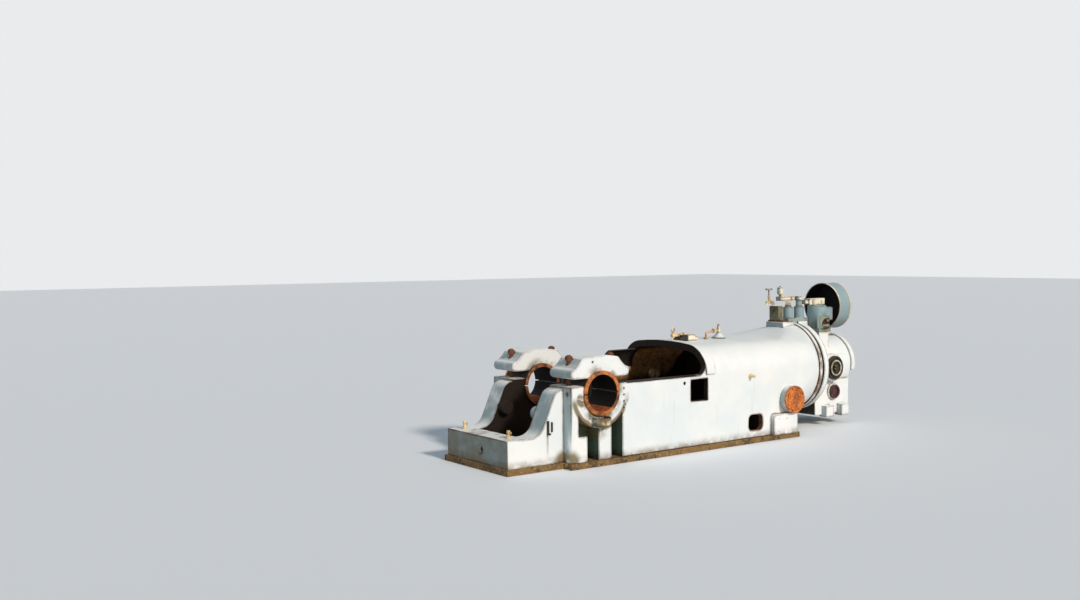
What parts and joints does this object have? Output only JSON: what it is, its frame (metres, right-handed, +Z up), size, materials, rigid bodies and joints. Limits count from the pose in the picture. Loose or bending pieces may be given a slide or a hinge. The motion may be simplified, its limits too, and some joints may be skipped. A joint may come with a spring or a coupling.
{
  "type": "horizontal stationary engine",
  "caption": "Horizontal stationary engine stripped to its cast bed, main bearings, crosshead housing, water-jacketed cylinder and valve head; crankshaft, flywheels and piston are absent.",
  "frame": {"origin": "on the underside of the sole, under the crankshaft axis and on the centre line of the bed", "axes": "+X along the cylinder axis from the crank towards the cylinder head, +Y towards the far side, away from the side flange, +Z up"},
  "size_m": [2.97, 0.904, 0.947],
  "materials": {
    "paint": "worn pale paint",
    "bare_iron": "bare, brown with old oil",
    "bronze": "bronze, dull",
    "rusty_iron": "rusted",
    "brass": "tarnished brass",
    "cream_paint": "worn cream paint",
    "oily_iron": "dark and oily"
  },
  "bodies": {
    "root": {"sole": "bare_iron", "front_ledge": "paint", "near_side_wall": "paint", "far_side_wall": "paint", "near_pedestal": "paint", "far_pedestal": "paint", "near_rear_wall": "paint", "far_rear_wall": "paint", "housing": "paint", "water_front_wall": "paint", "water_rear_wall": "paint", "cylinder_jacket": "paint", "cylinder_liner": "oily_iron", "near_bearing_cap": "paint", "far_bearing_cap": "paint", "near_upper_shell": "bronze", "far_upper_shell": "bronze", "near_lower_shell": "bronze", "far_lower_shell": "bronze", "near_cap_studs": "rusty_iron", "far_cap_studs": "rusty_iron", "near_oil_catcher": "paint", "far_oil_catcher": "paint", "ledge_cocks": "brass", "near_wall_hook": "rusty_iron", "splash_guard": "oily_iron", "lever_bush": "brass", "side_flange": "rusty_iron", "side_plug": "brass", "head_flange": "paint", "head_body": "paint", "head_cover": "paint", "ringed_plug": "oily_iron", "igniter_port": "rusty_iron", "pad_plate": "rusty_iron", "valve_bracket": "bare_iron", "valve_cages": "paint", "inlet_body": "paint", "front_rocker_bar": "cream_paint", "rear_rocker_bar": "cream_paint", "indicator_cock": "brass", "oil_cup": "cream_paint", "air_drum": "paint", "crown_lubricator": "brass", "feed_pipe": "brass"}
  },
  "joints": []
}
